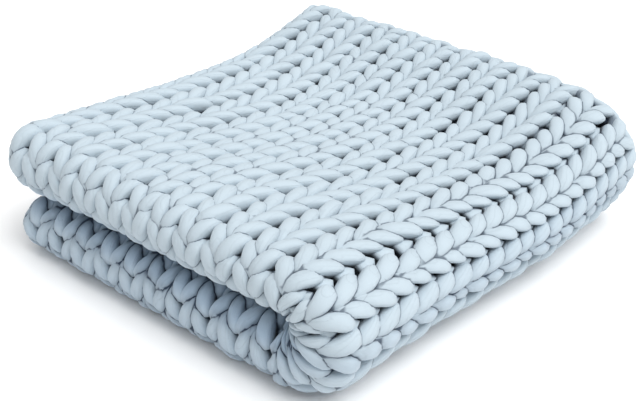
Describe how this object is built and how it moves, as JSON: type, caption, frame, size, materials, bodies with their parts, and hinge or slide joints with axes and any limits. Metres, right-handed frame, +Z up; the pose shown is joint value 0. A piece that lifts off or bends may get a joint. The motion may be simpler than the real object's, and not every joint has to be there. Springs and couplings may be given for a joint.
{
  "type": "weighted blanket",
  "caption": "Chunky hand-knitted weighted blanket, folded in half and in half again into a thick pile that lies flat, knit ribs outside.",
  "frame": {"origin": "middle of the folded pile's footprint, on the surface it lies on", "axes": "+X towards the bend of the second fold, +Y from the rolls of the first fold towards the loose ends, +Z up"},
  "size_m": [0.6218, 0.641, 0.188],
  "materials": {
    "knitted_yarn": "matt pale blue cotton jersey over a soft filling"
  },
  "bodies": {
    "root": {"folded_blanket": "knitted_yarn"}
  },
  "joints": []
}
